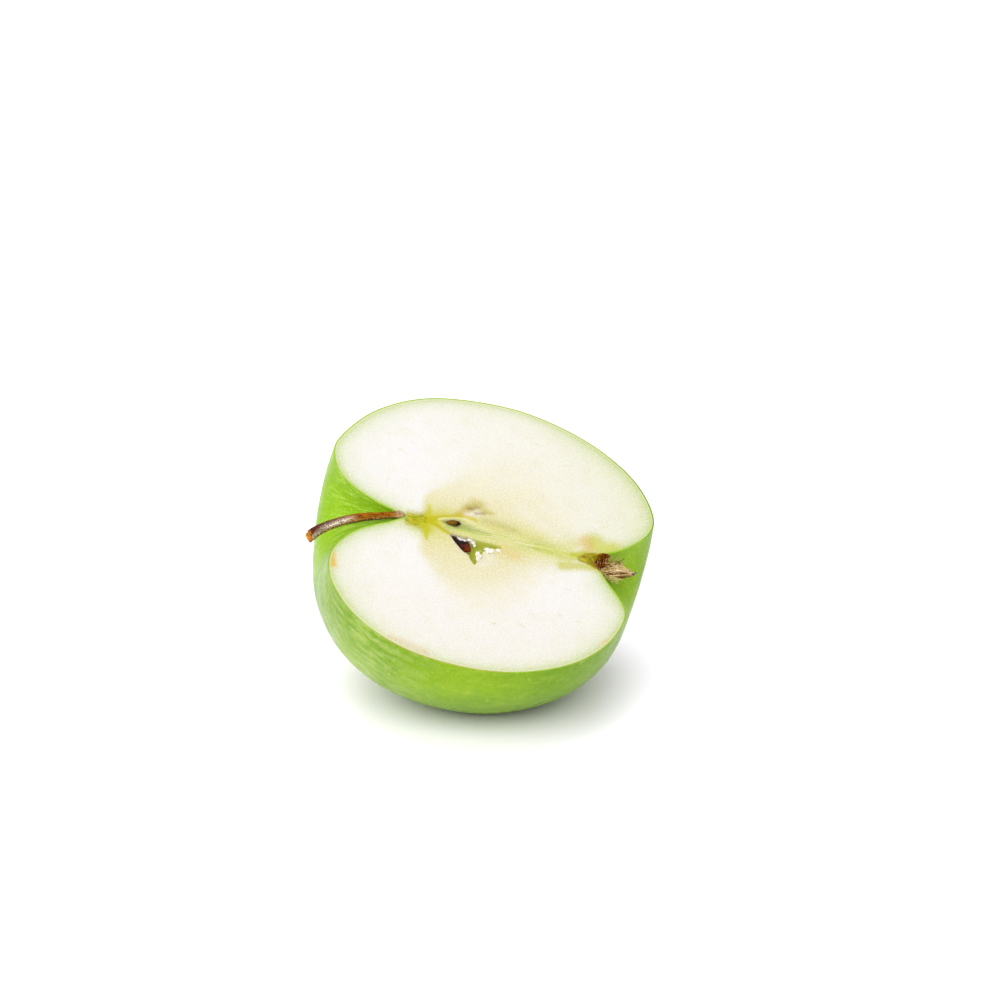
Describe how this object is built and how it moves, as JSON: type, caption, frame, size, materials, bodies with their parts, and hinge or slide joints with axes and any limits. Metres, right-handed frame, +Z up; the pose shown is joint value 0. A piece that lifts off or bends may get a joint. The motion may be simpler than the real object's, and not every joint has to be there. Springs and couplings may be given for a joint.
{
  "type": "apple half",
  "caption": "Half of a green apple cut lengthwise, leaning, with stem, dried calyx, opened core and seeds.",
  "frame": {"origin": "middle of the box around the half, at the height of the surface it rests on", "axes": "+Z up; the core runs along +X from the stem end to the calyx end and dips 13 degrees; the cut face looks up and leans 25.5 degrees towards -Y"},
  "size_m": [0.073, 0.071, 0.054],
  "materials": {
    "flesh": "satin",
    "skin": "gloss",
    "stem": "matte",
    "calyx": "matte",
    "upper_seed": "satin",
    "lower_seed": "satin"
  },
  "bodies": {
    "root": {"flesh": "flesh", "stem": "stem", "calyx": "calyx", "upper_seed": "upper_seed", "lower_seed": "lower_seed"}
  },
  "joints": []
}
